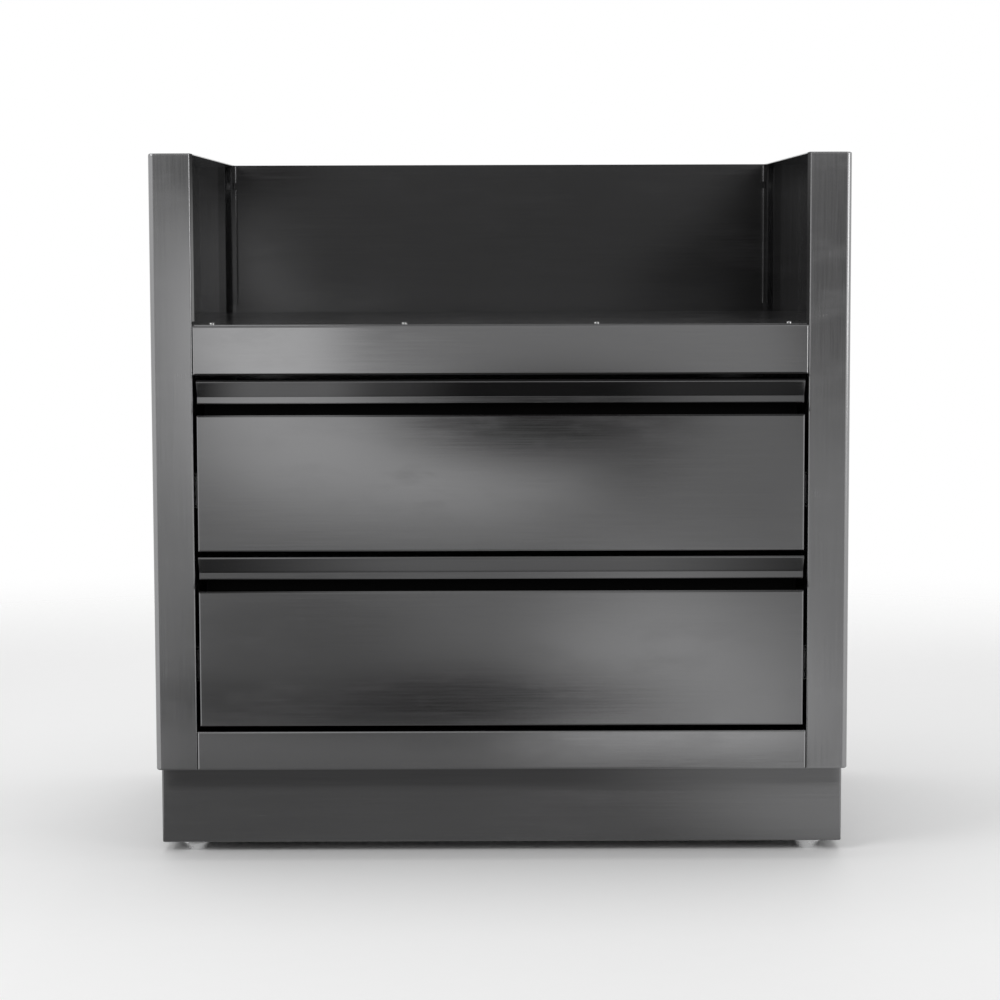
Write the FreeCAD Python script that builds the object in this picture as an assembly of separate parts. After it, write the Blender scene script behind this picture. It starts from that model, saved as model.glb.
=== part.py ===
"""Under-grill cabinet of folded stainless sheet: an open bay for a drop-in grill head above two drawers.

Frame: +X to the right, +Y to the back, +Z up, origin on the floor under the middle of the cabinet.
All sizes are in millimetres. The front of the cabinet faces -Y.
"""

import FreeCAD
import Part
import math
import os

V = FreeCAD.Vector

# Overall sizes
WIDTH = 895.0
DEPTH = 616.0

# Heights, from the floor up
FOOT_SHOW = 13.0
KICK_HEIGHT = 107.5
BOTTOM_RAIL_HEIGHT = 50.5
DRAWER_OPENING_HEIGHT = 461.0
TOP_RAIL_HEIGHT = 63.0
BAY_HEIGHT = 219.0

# Folded sheet
SHEET = 1.2
BEND = 2.4
FIT = 0.5

# Side panels, posts and ledges
OPENING_WIDTH = 788.0
POST_CORNER = 6.5
POST_RETURN = 30.0
RETURN_CLEARANCE = 2.0

# Front rails
RAIL_FLANGE = 40.0
RAIL_END_TAB = 28.0
DECK_SETBACK = 6.0

# Deck, floor and back
DECK_UPSTAND = 30.0
FLOOR_UPSTAND = 25.0
UPSTAND_END_GAP = 3.0
BACK_HEM = 20.0
BACK_EDGE_GAP = 2.0
SLIDE_PANEL_FLANGE = 25.0

# Corner strips in the bay, over the joint of the rear flanges and the back
STRIP_STAND = 11.0
STRIP_OVERHANG = 3.5
STRIP_FACE = 7.2
STRIP_FLANK = 10.3
STRIP_LAP = 11.0
STRIP_NOTCH = 12.0
STRIP_SLOT_HEIGHT = 10.0
STRIP_SLOT_DROP = 26.0
STRIP_SLOT_RIDGE = 1.8

# Plinth
KICK_RECESS = 57.0
KICK_FLANGE = 25.0
KICK_FOOT_FLANGE = 15.0

# Levelling feet
FOOT_RADIUS = 19.0
FOOT_TIP_RADIUS = 13.5
FOOT_TAPER = 10.0
FOOT_HEIGHT = 26.0
FOOT_CHAMFER = 2.0
FOOT_SIDE_INSET = 43.0
FOOT_FRONT_INSET = 25.0
FOOT_REAR_INSET = 45.0
FOOT_CLEARANCE = 2.0
STUD_RADIUS = 6.0
STUD_CLEARANCE = 0.3
STUD_ABOVE_NUT = 44.0
NUT_FLATS = 19.0
NUT_HEIGHT = 10.0
BRACKET_PLATE = 3.0
BRACKET_REACH = 76.0
BRACKET_LENGTH = 80.0
BRACKET_UPRIGHT = 48.0

# Drawers
DRAWER_GAP = 6.5
DRAWER_SIDE_GAP = 4.0
PULL_STRIP_HEIGHT = 22.0
PULL_LIP_HEIGHT = 10.0
PULL_SCOOP_DEPTH = 15.0
PULL_RETURN = 8.0
PULL_TOP_LAP = 17.0
FINGER_GAP = 13.0
FRONT_DEPTH = 33.0
FRONT_TOP_FLANGE = 14.0
FRONT_HEM = 10.0
FRONT_BACK_LIP = 30.0
LINER_WALL = 1.5
LINER_DROP = 12.0
LINER_TOP_LEG = 7.0
BOX_REAR_ROOM = 83.0
BOX_LIFT = 12.0
BOX_SIDE_DROP = 14.5
BOX_BACK_DROP = 24.5
BOX_RIM = 12.0
BOX_SHELF = 15.0

# Telescopic slides, measured across (from the slide panel towards the drawer) and up from their middle
SLIDE_SETBACK = 46.0
SLIDE_RISE = 75.0
SLIDE_THICKNESS = 12.7
SLIDE_HALF_HEIGHT = 22.5
SLIDE_WALL = 1.2
SLIDE_WEB_GAP = 1.0
OUTER_REACH = 9.5
MID_REACH = 10.5
INNER_START = 5.0
RACE_LIP = 0.8
BALL_RADIUS = 1.25
BALL_CLEARANCE = 0.3
INNER_BALL_SHIFT = 1.0
CAGE_WALL = 0.4
CAGE_LENGTH = 160.0
CAGE_END = 10.0
CAGE_HALF_WIDTH = 2.1
BALLS_PER_ROW = 6
BUMPER_LENGTH = 8.0
BUMPER_HALF_HEIGHT = 12.0
BUMPER_GAP = 0.3
BUMPER_REACH = 9.0

# Screws: shank radius, head radius, head height
SCREW_SHANK = 1.75
SCREW_HEAD = 4.2
SCREW_HEAD_HEIGHT = 3.0
SCREW_HEAD_ROUND = 1.8
SCREW_CLEARANCE = 0.1
SCREW_TIP = 4.0
SCREW_TIP_ROOM = 2.0
DRILL_RUNOUT = 1.0
SOCKET_FLATS = 2.8
SOCKET_DEPTH = 1.6
DECK_SCREW_COUNT = 4
DECK_SCREW_END = 24.0
DECK_SCREW_SETBACK = 11.0
BACK_SCREW_ROWS = 5
BACK_SCREW_INSET = 8.0
BACK_SCREW_TOP = 31.0
BACK_SCREW_BOTTOM = 40.0
RAIL_SCREW_SETBACK = 18.0
RAIL_SCREW_SPREAD = 26.0
KICK_SCREW_INSET = 14.0
KICK_SCREW_END = 90.0
SLIDE_SCREW_END = 32.0
FRONT_SCREW_INSET = 19.0
FRONT_SCREW_END = 28.0
PULL_SCREW_COUNT = 4
PULL_SCREW_END = 82.0
PULL_SCREW_INSET = 8.0

# Planes and levels that the pieces share
HALF = WIDTH / 2
FRONT = -DEPTH / 2
BACK = DEPTH / 2 - SCREW_HEAD_HEIGHT
OPEN = OPENING_WIDTH / 2
Z_BASE = FOOT_SHOW + KICK_HEIGHT
Z_SILL = Z_BASE + BOTTOM_RAIL_HEIGHT
Z_HEAD = Z_SILL + DRAWER_OPENING_HEIGHT
Z_DECK = Z_HEAD + TOP_RAIL_HEIGHT
Z_TOP = Z_DECK + BAY_HEIGHT
FLANGE_FACE = BACK - 2 * SHEET
POST_BACK = FRONT + POST_RETURN + RETURN_CLEARANCE
KICK_FRONT = FRONT + KICK_RECESS
INSIDE = HALF - SHEET - FIT
SLIDE_FACE = OPEN + SHEET
DRAWER_FRONT_HEIGHT = (DRAWER_OPENING_HEIGHT - 3 * DRAWER_GAP) / 2
DRAWER_FRONT_HALF = OPEN - DRAWER_SIDE_GAP
BOX_HALF = SLIDE_FACE - SLIDE_THICKNESS
BOX_FRONT = FRONT + FRONT_DEPTH
BOX_LENGTH = DEPTH - FRONT_DEPTH - BOX_REAR_ROOM
BOX_BACK = BOX_FRONT + BOX_LENGTH
SLIDE_LENGTH = BOX_LENGTH
CAGE_SETBACK = SLIDE_LENGTH / 3
SLIDE_FRONT = FRONT + SLIDE_SETBACK
BRACKET_Z = FOOT_HEIGHT
FOOT_X = HALF - FOOT_SIDE_INSET
FOOT_YS = {"front": KICK_FRONT + FOOT_FRONT_INSET, "rear": BACK - FOOT_REAR_INSET}
DRAWER_Z = {"lower": Z_SILL + DRAWER_GAP, "upper": Z_SILL + 2 * DRAWER_GAP + DRAWER_FRONT_HEIGHT}


def box(x0, x1, y0, y1, z0, z1):
    """A block between two corners."""
    return Part.makeBox(x1 - x0, y1 - y0, z1 - z0, V(x0, y0, z0))


def fuse(shapes):
    """One solid from blocks that touch or overlap, with its coplanar faces merged."""
    return shapes[0].multiFuse(shapes[1:]).removeSplitter()


def mirrored(shape):
    """The same piece for the other side of the cabinet."""
    return shape.mirror(V(0, 0, 0), V(1, 0, 0))


def rounded(shape, radius, picks):
    """Rounds the straight edges that each pick names, as (axis, {other axis: its value})."""
    found = []
    for axis, places in picks:
        for edge in shape.Edges:
            ends = [v.Point for v in edge.Vertexes]
            if len(ends) != 2:
                continue
            along = ends[1] - ends[0]
            straight = abs(getattr(along, axis)) > along.Length - 1e-6
            there = all(abs(getattr(p, k) - at) < 1e-6 for p in ends for k, at in places.items())
            if straight and there:
                found.append(edge)
    return shape.makeFillet(radius, found)


def cylinder(radius, start, axis, length):
    """A round bar from a point along a direction."""
    return Part.makeCylinder(radius, length, V(*start), V(*axis))


def hexagon(flats, length, start, direction):
    """A hexagonal bar from a point along a direction."""
    reach = flats / math.sqrt(3)
    turns = [i * math.pi / 3 for i in range(7)]
    bar = Part.Face(Part.makePolygon([V(reach * math.cos(a), reach * math.sin(a), 0) for a in turns]))
    bar = bar.extrude(V(0, 0, length))
    bar.Placement = FreeCAD.Placement(start, FreeCAD.Rotation(V(0, 0, 1), direction))
    return bar


def screw(seat, into, grip):
    """A socket-head screw: its head stands on the seat, and its shank goes grip deep into the pieces."""
    direction = V(*into)
    start = V(*seat)
    head = Part.makeCylinder(SCREW_HEAD, SCREW_HEAD_HEIGHT, start, direction * -1)
    rim = [e for e in head.Edges if abs((e.CenterOfMass - start).dot(direction) + SCREW_HEAD_HEIGHT) < 1e-6]
    head = head.makeFillet(SCREW_HEAD_ROUND, rim)
    shank = Part.makeCylinder(SCREW_SHANK, grip, start, direction)
    socket = hexagon(SOCKET_FLATS, SOCKET_DEPTH, start - direction * SCREW_HEAD_HEIGHT, direction)
    return fuse([head, shank]).cut(socket)


def screw_hole(seat, into, grip):
    """The clearance hole for a screw at the same place."""
    start = V(*seat) - V(*into) * DRILL_RUNOUT
    length = grip + 2 * DRILL_RUNOUT
    return Part.makeCylinder(SCREW_SHANK + SCREW_CLEARANCE, length, start, V(*into))


def drilled(shape, screws):
    """A piece with the clearance holes of the screws that pass through it."""
    return shape.cut([screw_hole(*s) for s in screws])


def folded_strip(points, sheet, bend, x0, x1):
    """Sheet folded along X from a (y, z) polyline of one face: the sheet lies on its left."""
    def offset_corners(distance):
        moved = []
        for i, p in enumerate(points):
            before = points[max(i - 1, 0)]
            after = points[min(i + 1, len(points) - 1)]
            d1 = unit(before, p) if i else unit(p, after)
            d2 = unit(p, after) if i < len(points) - 1 else d1
            n1 = (-d1[1], d1[0])
            n2 = (-d2[1], d2[0])
            scale = distance / (1 + n1[0] * n2[0] + n1[1] * n2[1])
            moved.append((p[0] + scale * (n1[0] + n2[0]), p[1] + scale * (n1[1] + n2[1])))
        return moved

    def unit(a, b):
        length = math.hypot(b[0] - a[0], b[1] - a[1])
        return ((b[0] - a[0]) / length, (b[1] - a[1]) / length)

    def side(corners, left_radius, right_radius):
        edges = []
        at = corners[0]
        for before, corner, after in zip(corners, corners[1:], corners[2:]):
            d1 = unit(before, corner)
            d2 = unit(corner, after)
            turn = math.atan2(d1[0] * d2[1] - d1[1] * d2[0], d1[0] * d2[0] + d1[1] * d2[1])
            radius = left_radius if turn > 0 else right_radius
            run = radius * math.tan(abs(turn) / 2)
            start = (corner[0] - d1[0] * run, corner[1] - d1[1] * run)
            end = (corner[0] + d2[0] * run, corner[1] + d2[1] * run)
            middle = ((start[0] + end[0]) / 2, (start[1] + end[1]) / 2)
            inward = unit(corner, middle)
            reach = radius / math.cos(turn / 2) - radius
            crown = (corner[0] + inward[0] * reach, corner[1] + inward[1] * reach)
            edges.append(line(at, start))
            edges.append(Part.Arc(spot(start), spot(crown), spot(end)).toShape())
            at = end
        edges.append(line(at, corners[-1]))
        return edges

    def spot(p):
        return V(x0, p[0], p[1])

    def line(a, b):
        return Part.LineSegment(spot(a), spot(b)).toShape()

    other = offset_corners(sheet)
    edges = side(points, bend, bend - sheet) + side(other, bend - sheet, bend)
    edges.append(line(points[0], other[0]))
    edges.append(line(points[-1], other[-1]))
    face = Part.Face(Part.Wire(Part.__sortEdges__(edges)))
    return face.extrude(V(x1 - x0, 0, 0))


def spread(first, last, count):
    """Evenly spaced places from first to last."""
    return [first + (last - first) * i / (count - 1) for i in range(count)]


# Where the screws go: each is (seat, direction, depth)
def deck_screws():
    y = FRONT + DECK_SETBACK + DECK_SCREW_SETBACK
    end = OPEN - DECK_SCREW_END
    grip = 2 * SHEET + SCREW_TIP
    return [((x, y, Z_DECK + SHEET), (0, 0, -1), grip) for x in spread(-end, end, DECK_SCREW_COUNT)]


def back_panel_screws():
    places = []
    for x in (-OPEN - BACK_SCREW_INSET, OPEN + BACK_SCREW_INSET):
        for z in spread(Z_BASE + BACK_SCREW_BOTTOM, Z_TOP - BACK_SCREW_TOP, BACK_SCREW_ROWS):
            places.append(((x, BACK, z), (0, -1, 0), 2 * SHEET + SCREW_TIP))
    return places


def rail_screws():
    places = []
    for side in (-1, 1):
        for middle in ((Z_BASE + Z_SILL) / 2, (Z_HEAD + Z_DECK) / 2):
            for z in (middle - RAIL_SCREW_SPREAD / 2, middle + RAIL_SCREW_SPREAD / 2):
                seat = (side * (OPEN - SHEET), FRONT + RAIL_SCREW_SETBACK, z)
                places.append((seat, (side, 0, 0), 3 * SHEET + SCREW_TIP))
    return places


def kick_screws():
    seat_z = Z_BASE - SHEET
    places = []
    for side in (-1, 1):
        for y in spread(KICK_FRONT + KICK_SCREW_END, BACK - KICK_SCREW_END, 3):
            places.append(((side * (HALF - KICK_SCREW_INSET), y, seat_z), (0, 0, 1), 3 * SHEET))
    for x in spread(-OPEN + KICK_SCREW_END, OPEN - KICK_SCREW_END, 3):
        places.append(((x, KICK_FRONT + KICK_SCREW_INSET, seat_z), (0, 0, 1), 3 * SHEET))
    return places


def slide_screws():
    places = []
    for side in (-1, 1):
        for z0 in DRAWER_Z.values():
            for y in spread(SLIDE_SCREW_END, SLIDE_LENGTH - SLIDE_SCREW_END, 3):
                seat = (side * (SLIDE_FACE + SHEET), SLIDE_FRONT + y, z0 + SLIDE_RISE)
                places.append((seat, (-side, 0, 0), SHEET + SLIDE_WALL))
    return places


def inner_slide_screws(z0):
    places = []
    for side in (-1, 1):
        for y in spread(SLIDE_SCREW_END, SLIDE_LENGTH - SLIDE_SCREW_END, 3):
            seat = (side * (BOX_HALF - SHEET), SLIDE_FRONT + y, z0 + SLIDE_RISE)
            places.append((seat, (side, 0, 0), SHEET + SLIDE_WALL))
    return places


def front_panel_screws(z0):
    top = z0 + panel_height() - LINER_DROP - FRONT_SCREW_END
    places = []
    for side in (-1, 1):
        for z in spread(z0 + BOX_LIFT + FRONT_SCREW_END, top, 3):
            seat = (side * (DRAWER_FRONT_HALF - FRONT_SCREW_INSET), BOX_FRONT + SHEET, z)
            places.append((seat, (0, -1, 0), 2 * SHEET + SCREW_TIP))
    return places


def pull_screws(z0):
    z = z0 + DRAWER_FRONT_HEIGHT - 2 * SHEET
    y = BOX_FRONT + PULL_SCREW_INSET
    end = BOX_HALF - PULL_SCREW_END
    return [((x, y, z), (0, 0, 1), 2 * SHEET) for x in spread(-end, end, PULL_SCREW_COUNT)]


# Cabinet
def left_side_panel():
    """Outer wall folded into the closed front post, the top ledge, the rear flange and the bottom flange."""
    back = BACK - SHEET
    shape = fuse([
        box(-HALF, -HALF + SHEET, FRONT, back, Z_BASE, Z_TOP),
        box(-HALF, -OPEN, FRONT, FRONT + SHEET, Z_BASE, Z_TOP),
        box(-OPEN - SHEET, -OPEN, FRONT, FRONT + POST_RETURN, Z_BASE, Z_TOP),
        box(-HALF, -OPEN, FLANGE_FACE, back, Z_BASE, Z_TOP),
        box(-HALF, -OPEN, FRONT, back, Z_TOP - SHEET, Z_TOP),
        box(-HALF, -OPEN, FRONT, back, Z_BASE, Z_BASE + SHEET),
    ])
    shape = rounded(shape, POST_CORNER - SHEET, [("z", {"x": -HALF + SHEET, "y": FRONT + SHEET})])
    shape = rounded(shape, POST_CORNER, [("z", {"x": -HALF, "y": FRONT})])
    shape = rounded(shape, BEND, [
        ("z", {"x": -OPEN, "y": FRONT}),
        ("z", {"x": -HALF, "y": back}),
        ("y", {"x": -HALF, "z": Z_TOP}),
        ("x", {"y": FRONT, "z": Z_TOP}),
        ("y", {"x": -HALF, "z": Z_BASE}),
        ("x", {"y": FRONT, "z": Z_BASE}),
    ])
    return drilled(shape, back_panel_screws() + rail_screws() + kick_screws())


def back_panel():
    """Flat back, fixed from behind to the rear flanges, with a hem folded over its top edge."""
    half = HALF - BACK_EDGE_GAP
    shape = fuse([
        box(-half, half, BACK - SHEET, BACK, Z_BASE, Z_TOP),
        box(-OPEN + FIT, OPEN - FIT, FLANGE_FACE, BACK - SHEET, Z_TOP - BACK_HEM, Z_TOP),
    ])
    return drilled(shape, back_panel_screws())


def left_corner_strip():
    """Folded strip up the bay's rear corner: a lap on the rear flange, a flank, a face and a return."""
    inner = -OPEN + STRIP_OVERHANG
    fold = inner - STRIP_FACE
    flank_foot = fold - STRIP_FLANK
    face = FLANGE_FACE - STRIP_STAND + SHEET
    low = Z_DECK + SHEET
    high = Z_TOP - SHEET - FIT
    points = [(inner - SHEET, FLANGE_FACE - FIT), (inner - SHEET, face), (fold, face),
              (flank_foot, FLANGE_FACE), (flank_foot - STRIP_LAP, FLANGE_FACE)]
    shape = folded_strip(points, SHEET, BEND, low, high)
    shape = shape.rotate(V(0, 0, 0), V(1, 1, 1), -120)
    front = face - 2 * SHEET
    slot_top = Z_TOP - STRIP_SLOT_DROP
    slot_foot = slot_top - STRIP_SLOT_HEIGHT
    notch = box(fold - STRIP_SLOT_RIDGE, inner + SHEET, front, FLANGE_FACE, low, low + STRIP_NOTCH)
    face_slot = box(fold + STRIP_SLOT_RIDGE, inner + SHEET, front, FLANGE_FACE, slot_foot, slot_top)
    flank_slot = box(flank_foot + STRIP_SLOT_RIDGE, fold - STRIP_SLOT_RIDGE, front, FLANGE_FACE - FIT,
                     slot_foot, slot_top)
    return shape.cut([notch, face_slot, flank_slot])


def front_rail(z0, z1, low_flange):
    """A rail between the posts: its face, two flanges and an end tab against each post."""
    shape = fuse([
        box(-OPEN, OPEN, FRONT, FRONT + SHEET, z0, z1),
        box(-OPEN, OPEN, FRONT, FRONT + RAIL_FLANGE, z1 - SHEET, z1),
        box(-OPEN, OPEN, FRONT, FRONT + RAIL_END_TAB, z0, z0 + SHEET),
        box(-OPEN + SHEET + FIT, OPEN - SHEET - FIT, FRONT, FRONT + low_flange, z0, z0 + SHEET),
        box(-OPEN, -OPEN + SHEET, FRONT, FRONT + RAIL_END_TAB, z0, z1),
        box(OPEN - SHEET, OPEN, FRONT, FRONT + RAIL_END_TAB, z0, z1),
    ])
    shape = rounded(shape, BEND, [
        ("x", {"y": FRONT, "z": z0}),
        ("x", {"y": FRONT, "z": z1}),
        ("z", {"x": -OPEN, "y": FRONT}),
        ("z", {"x": OPEN, "y": FRONT}),
    ])
    return drilled(shape, deck_screws() + rail_screws() + kick_screws())


def tray(z0, upstand):
    """A level plate between the side walls: a tongue between the posts and an upstand at the back."""
    tongue = OPEN - SHEET - 2 * FIT
    end = OPEN - UPSTAND_END_GAP
    shape = fuse([
        box(-INSIDE, INSIDE, POST_BACK, FLANGE_FACE, z0, z0 + SHEET),
        box(-tongue, tongue, FRONT + DECK_SETBACK, POST_BACK, z0, z0 + SHEET),
        box(-end, end, FLANGE_FACE, BACK - SHEET, z0, z0 + upstand),
    ])
    return drilled(shape, deck_screws() + kick_screws())


def left_slide_panel():
    """Upright panel that carries the drawer slides, lapped on the post's return and flanged outwards."""
    inner = -SLIDE_FACE
    outer = inner - SHEET
    low = Z_BASE + 2 * SHEET
    shape = fuse([
        box(outer, inner, FRONT + SHEET + 2 * FIT, FLANGE_FACE, low, Z_DECK),
        box(outer - SLIDE_PANEL_FLANGE, inner, POST_BACK, FLANGE_FACE, Z_DECK - SHEET, Z_DECK),
        box(outer - SLIDE_PANEL_FLANGE, inner, POST_BACK, FLANGE_FACE, low, low + SHEET),
        box(outer - SLIDE_PANEL_FLANGE, inner, FLANGE_FACE - SHEET, FLANGE_FACE, low, Z_DECK),
    ])
    tips = [screw_clear(s) for s in back_panel_screws()]
    return drilled(shape, rail_screws() + slide_screws()).cut(tips)


def screw_clear(place):
    """Room around a screw's tip where a flange stands in front of it."""
    seat, into, grip = place
    return Part.makeCylinder(SCREW_SHANK + SCREW_TIP_ROOM, grip + SCREW_TIP_ROOM, V(*seat), V(*into))


def toe_kick():
    """Recessed plinth front folded back into the plinth's two sides, with flanges at top and bottom."""
    inner = HALF - KICK_FLANGE
    foot = HALF - KICK_FOOT_FLANGE
    pieces = [
        box(-HALF, HALF, KICK_FRONT, KICK_FRONT + SHEET, FOOT_SHOW, Z_BASE),
        box(-HALF, HALF, KICK_FRONT, KICK_FRONT + KICK_FLANGE, Z_BASE - SHEET, Z_BASE),
        box(-HALF, HALF, KICK_FRONT, KICK_FRONT + KICK_FOOT_FLANGE, FOOT_SHOW, FOOT_SHOW + SHEET),
    ]
    for side in (-1, 1):
        wall = sorted((side * HALF, side * (HALF - SHEET)))
        top = sorted((side * HALF, side * inner))
        low = sorted((side * HALF, side * foot))
        pieces.append(box(*wall, KICK_FRONT, BACK, FOOT_SHOW, Z_BASE))
        pieces.append(box(*top, KICK_FRONT, BACK, Z_BASE - SHEET, Z_BASE))
        pieces.append(box(*low, KICK_FRONT, BACK, FOOT_SHOW, FOOT_SHOW + SHEET))
    shape = rounded(fuse(pieces), BEND, [
        ("z", {"x": -HALF, "y": KICK_FRONT}),
        ("z", {"x": HALF, "y": KICK_FRONT}),
        ("x", {"y": KICK_FRONT, "z": FOOT_SHOW}),
        ("y", {"x": -HALF, "z": FOOT_SHOW}),
        ("y", {"x": HALF, "z": FOOT_SHOW}),
    ])
    room = [cylinder(FOOT_RADIUS + FOOT_CLEARANCE, (x, y, 0), (0, 0, 1), BRACKET_Z)
            for x, y in foot_places().values()]
    return drilled(shape, kick_screws()).cut(room)


def rear_plinth():
    """Plinth board at the back, between the plinth's sides."""
    half = HALF - SHEET
    inner = HALF - KICK_FLANGE - FIT
    foot = HALF - KICK_FOOT_FLANGE - FIT
    high = Z_BASE - SHEET - FIT
    low = FOOT_SHOW + SHEET + FIT
    return fuse([
        box(-half, half, BACK - SHEET, BACK, low, high),
        box(-inner, inner, BACK - SHEET, BACK, FOOT_SHOW, Z_BASE),
        box(-inner, inner, BACK - KICK_FLANGE, BACK, Z_BASE - SHEET, Z_BASE),
        box(-foot, foot, BACK - KICK_FOOT_FLANGE, BACK, FOOT_SHOW, FOOT_SHOW + SHEET),
    ])


# Levelling feet
def foot_places():
    return {f"{row}_{name}": (side * FOOT_X, y)
            for row, y in FOOT_YS.items() for name, side in (("left", -1), ("right", 1))}


def foot(x, y):
    """A turned foot that tapers to the floor, with its threaded stud standing up through the bracket."""
    stud_top = BRACKET_Z + BRACKET_PLATE + NUT_HEIGHT + STUD_ABOVE_NUT
    outline = [
        (0, 0), (FOOT_TIP_RADIUS - FOOT_CHAMFER, 0), (FOOT_TIP_RADIUS, FOOT_CHAMFER),
        (FOOT_RADIUS, FOOT_TAPER), (FOOT_RADIUS, FOOT_HEIGHT - FOOT_CHAMFER),
        (FOOT_RADIUS - FOOT_CHAMFER, FOOT_HEIGHT), (STUD_RADIUS, FOOT_HEIGHT),
        (STUD_RADIUS, stud_top - FOOT_CHAMFER), (STUD_RADIUS - FOOT_CHAMFER, stud_top), (0, stud_top),
    ]
    points = [V(x + r, y, z) for r, z in outline]
    face = Part.Face(Part.makePolygon(points + points[:1]))
    return face.revolve(V(x, y, 0), V(0, 0, 1), 360)


def stud_hole(x, y):
    length = BRACKET_PLATE + NUT_HEIGHT + 2 * DRILL_RUNOUT
    return cylinder(STUD_RADIUS + STUD_CLEARANCE, (x, y, BRACKET_Z - DRILL_RUNOUT), (0, 0, 1), length)


def foot_bracket(x, y):
    """An angle welded inside the plinth's side, with a hole for the foot's stud."""
    side = 1 if x > 0 else -1
    wall = HALF - SHEET
    plate = sorted((side * wall, side * (wall - BRACKET_REACH)))
    upright = sorted((side * wall, side * (wall - BRACKET_PLATE)))
    y0 = max(y - BRACKET_LENGTH / 2, KICK_FRONT + SHEET + FIT)
    y1 = min(y + BRACKET_LENGTH / 2, BACK - KICK_FLANGE - FIT)
    shape = fuse([
        box(*plate, y0, y1, BRACKET_Z, BRACKET_Z + BRACKET_PLATE),
        box(*upright, y0, y1, BRACKET_Z, BRACKET_Z + BRACKET_UPRIGHT),
    ])
    return shape.cut(stud_hole(x, y))


def levelling_nut(x, y):
    """Hexagon weld nut on top of a foot bracket."""
    seat = V(x, y, BRACKET_Z + BRACKET_PLATE)
    return hexagon(NUT_FLATS, NUT_HEIGHT, seat, V(0, 0, 1)).cut(stud_hole(x, y))


# Telescopic slides, drawn on the left and mirrored to the right
OUTER_FLANGE = SLIDE_HALF_HEIGHT - SLIDE_WALL
RACE = 2 * (BALL_RADIUS + BALL_CLEARANCE)
MID_HALF = OUTER_FLANGE - RACE
MID_FLANGE = MID_HALF - SLIDE_WALL
INNER_HALF = MID_FLANGE - RACE
MID_WEB = SLIDE_WALL + SLIDE_WEB_GAP
OUTER_BALL_AT = (SLIDE_WALL + OUTER_REACH) / 2
INNER_BALL_AT = (MID_WEB + SLIDE_WALL + MID_REACH) / 2 + INNER_BALL_SHIFT


def across(u):
    """X of a distance across the left slide, from its panel towards the drawer."""
    return -SLIDE_FACE + u


def channel(u0, u1, half, lip, z, y0, length):
    """A slide member: a web at u0 and two flanges to u1, each ending in a lip that keeps the balls in."""
    pieces = [box(across(u0), across(u0 + SLIDE_WALL), y0, y0 + length, z - half, z + half)]
    for s in (-1, 1):
        flange = sorted((z + s * half, z + s * (half - SLIDE_WALL)))
        edge = sorted((z + s * half, z + s * (half - SLIDE_WALL - lip)))
        pieces.append(box(across(u0), across(u1), y0, y0 + length, *flange))
        pieces.append(box(across(u1 - SLIDE_WALL), across(u1), y0, y0 + length, *edge))
    return fuse(pieces)


def moving_length():
    """The moving members stop short of the rubber bumper at the back of the outer member."""
    return SLIDE_LENGTH - BUMPER_LENGTH - BUMPER_GAP


def slide_outer(z0):
    shape = channel(0, OUTER_REACH, SLIDE_HALF_HEIGHT, RACE_LIP, z0 + SLIDE_RISE, SLIDE_FRONT, SLIDE_LENGTH)
    return drilled(shape, slide_screws())


def slide_mid(z0):
    return channel(MID_WEB, MID_REACH, MID_HALF, RACE_LIP, z0 + SLIDE_RISE, SLIDE_FRONT, moving_length())


def slide_inner(z0):
    z = z0 + SLIDE_RISE
    y1 = SLIDE_FRONT + moving_length()
    pieces = [box(across(SLIDE_THICKNESS - SLIDE_WALL), across(SLIDE_THICKNESS), SLIDE_FRONT, y1,
                  z - INNER_HALF, z + INNER_HALF)]
    for s in (-1, 1):
        flange = sorted((z + s * INNER_HALF, z + s * (INNER_HALF - SLIDE_WALL)))
        pieces.append(box(across(INNER_START), across(SLIDE_THICKNESS), SLIDE_FRONT, y1, *flange))
    return drilled(fuse(pieces), inner_slide_screws(z0))


def ball_cage(z0, web, ball_at, race_middle):
    """A ball retainer and its balls, as separate solids: a thin channel with a row above and below."""
    z = z0 + SLIDE_RISE
    y0 = SLIDE_FRONT + CAGE_SETBACK
    y1 = y0 + CAGE_LENGTH
    u1 = ball_at + CAGE_HALF_WIDTH
    half = race_middle + CAGE_WALL / 2
    cage = [box(across(web), across(web + CAGE_WALL), y0, y1, z - half, z + half)]
    balls = []
    pockets = []
    for s in (-1, 1):
        strip = sorted((z + s * half, z + s * (half - CAGE_WALL)))
        cage.append(box(across(web), across(u1), y0, y1, *strip))
        for y in spread(y0 + CAGE_END, y1 - CAGE_END, BALLS_PER_ROW):
            middle = V(across(ball_at), y, z + s * race_middle)
            balls.append(Part.makeSphere(BALL_RADIUS, middle))
            pocket_foot = middle - V(0, 0, CAGE_WALL)
            pockets.append(Part.makeCylinder(BALL_RADIUS + BALL_CLEARANCE, 2 * CAGE_WALL, pocket_foot))
    return [fuse(cage).cut(pockets)] + balls


def outer_cage(z0):
    return ball_cage(z0, SLIDE_WALL + BALL_CLEARANCE, OUTER_BALL_AT, OUTER_FLANGE - RACE / 2)


def inner_cage(z0):
    return ball_cage(z0, MID_WEB + SLIDE_WALL + BALL_CLEARANCE, INNER_BALL_AT, MID_FLANGE - RACE / 2)


def slide_bumper(z0):
    """Rubber block in the back of the outer member, which the moving members close against."""
    z = z0 + SLIDE_RISE
    y1 = SLIDE_FRONT + SLIDE_LENGTH
    shape = box(across(SLIDE_WALL), across(BUMPER_REACH), y1 - BUMPER_LENGTH, y1,
                z - BUMPER_HALF_HEIGHT, z + BUMPER_HALF_HEIGHT)
    return drilled(shape, slide_screws())


# Drawers
def panel_height():
    """Height of a drawer's flat front, below its finger gap and pull rail."""
    return DRAWER_FRONT_HEIGHT - PULL_STRIP_HEIGHT - PULL_LIP_HEIGHT - FINGER_GAP


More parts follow.
